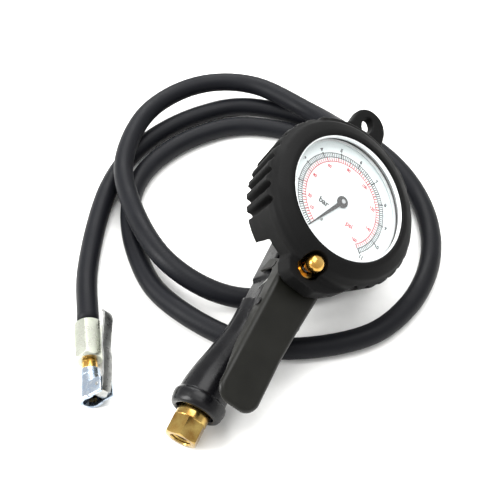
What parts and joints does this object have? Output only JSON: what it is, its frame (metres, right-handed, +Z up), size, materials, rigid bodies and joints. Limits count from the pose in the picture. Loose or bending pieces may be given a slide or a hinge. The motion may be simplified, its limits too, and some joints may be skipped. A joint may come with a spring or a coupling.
{
  "type": "tyre inflator with gauge",
  "caption": "Hand-held tyre inflator: squeeze lever on a round grip, rubber-booted dial gauge, brass air inlet, release button, and a hose with a clip-on chuck.",
  "frame": {"origin": "middle of the tool (without its hose) in plan, on the bench it lies on", "axes": "+Z up from the bench, +Y away from the inlet end towards the hanging eye, +X to the right with the dial facing up and right"},
  "size_m": [0.2309, 0.2956, 0.11],
  "materials": {
    "black_casting": "satin black stoved enamel on a zinc casting",
    "lever_paint": "satin black enamel on pressed steel",
    "boot_rubber": "matt black moulded rubber",
    "hose_rubber": "black rubber hose, faint cloth weave",
    "seal_rubber": "black nitrile rubber",
    "brass": "turned brass",
    "steel": "plain turned steel",
    "zinc_plate": "bright zinc plate with a bluish tint",
    "chrome": "polished plate",
    "case_steel": "black enamelled pressed steel",
    "dial_white": "white printed aluminium",
    "needle_black": "black painted aluminium",
    "window_clear": "clear window",
    "bronze": "sintered and spring bronze"
  },
  "bodies": {
    "inflator": {"handle_body": "black_casting", "pivot_pin_left": "lever_paint", "pivot_pin_right": "lever_paint", "lever_spring": "steel", "inlet_fitting": "brass", "inlet_seal": "seal_rubber", "inlet_filter": "bronze", "valve_bush": "brass", "bush_seal": "seal_rubber", "valve_spring": "steel", "valve_plug": "brass", "deflate_gland": "brass", "deflate_spring": "steel", "gauge_boot": "boot_rubber", "gauge_case": "case_steel", "bezel_ring": "case_steel", "window_seal": "seal_rubber", "gauge_window": "window_clear", "spacer_ring": "chrome", "dial_plate": "dial_white", "dial_stop_pin": "steel", "front_plate": "brass", "back_plate": "brass", "pillar_left": "brass", "pillar_right": "brass", "gauge_socket": "brass", "bourdon_tube": "brass", "tube_link": "steel", "hairspring": "bronze", "outlet_fitting": "steel", "body_ferrule": "zinc_plate", "hose": "hose_rubber", "chuck_ferrule": "zinc_plate", "chuck_nipple": "brass", "chuck_body": "zinc_plate", "chuck_seal": "seal_rubber", "chuck_core_pin": "brass", "clip_pin": "steel", "clip_spring": "steel"},
    "lever": {"lever": "lever_paint", "roller_pin": "steel", "lever_roller": "steel"},
    "valve": {"valve_stem": "steel", "valve_seal": "seal_rubber"},
    "button": {"deflate_button": "brass"},
    "sector": {"sector_gear": "brass"},
    "pointer": {"needle": "needle_black", "pinion_arbor": "steel"},
    "clip": {"chuck_clip": "zinc_plate"}
  },
  "joints": [
    {"name": "lever_hinge", "type": "hinge", "parent": "inflator", "child": "lever", "pos_m": [-0.00297, -0.01072, 0.05225], "axis": [0.7593, -0.249, -0.6013], "range_deg": [0, 7.5], "stiffness_Nm_per_rad": 1, "springref_deg": -5.73, "deforming": ["lever_spring"]},
    {"name": "valve_slide", "type": "slide", "parent": "inflator", "child": "valve", "axis": [-0.4993, 0.3698, -0.7836], "range_m": [0, 0.0038], "deforming": ["valve_spring"]},
    {"name": "deflate_slide", "type": "slide", "parent": "inflator", "child": "button", "axis": [-0.5338, 0.2903, -0.7942], "range_m": [0, 0.002], "stiffness_N_per_m": 400, "springref_m": -0.002, "deforming": ["deflate_spring"]},
    {"name": "sector_hinge", "type": "hinge", "parent": "inflator", "child": "sector", "pos_m": [0.01836, 0.00759, 0.08849], "axis": [0.5338, -0.2903, 0.7942], "range_deg": [0, 27], "stiffness_Nm_per_rad": 0.01, "springref_deg": -11.46},
    {"name": "needle_hinge", "type": "hinge", "parent": "inflator", "child": "pointer", "pos_m": [0.0315, 0.01855, 0.08366], "axis": [0.5338, -0.2903, 0.7942], "range_deg": [-270, 0]},
    {"name": "clip_hinge", "type": "hinge", "parent": "inflator", "child": "clip", "pos_m": [-0.10558, -0.05901, 0.0129], "axis": [-0.5643, -0.105, 0.8189], "range_deg": [0, 6], "stiffness_Nm_per_rad": 0.5, "springref_deg": -17.19, "deforming": ["clip_spring"]}
  ],
  "couplings": [
    {"joint": "valve_slide", "follows": "lever_hinge", "m_per_rad": 0.0279},
    {"joint": "needle_hinge", "follows": "sector_hinge", "ratio": -10}
  ]
}
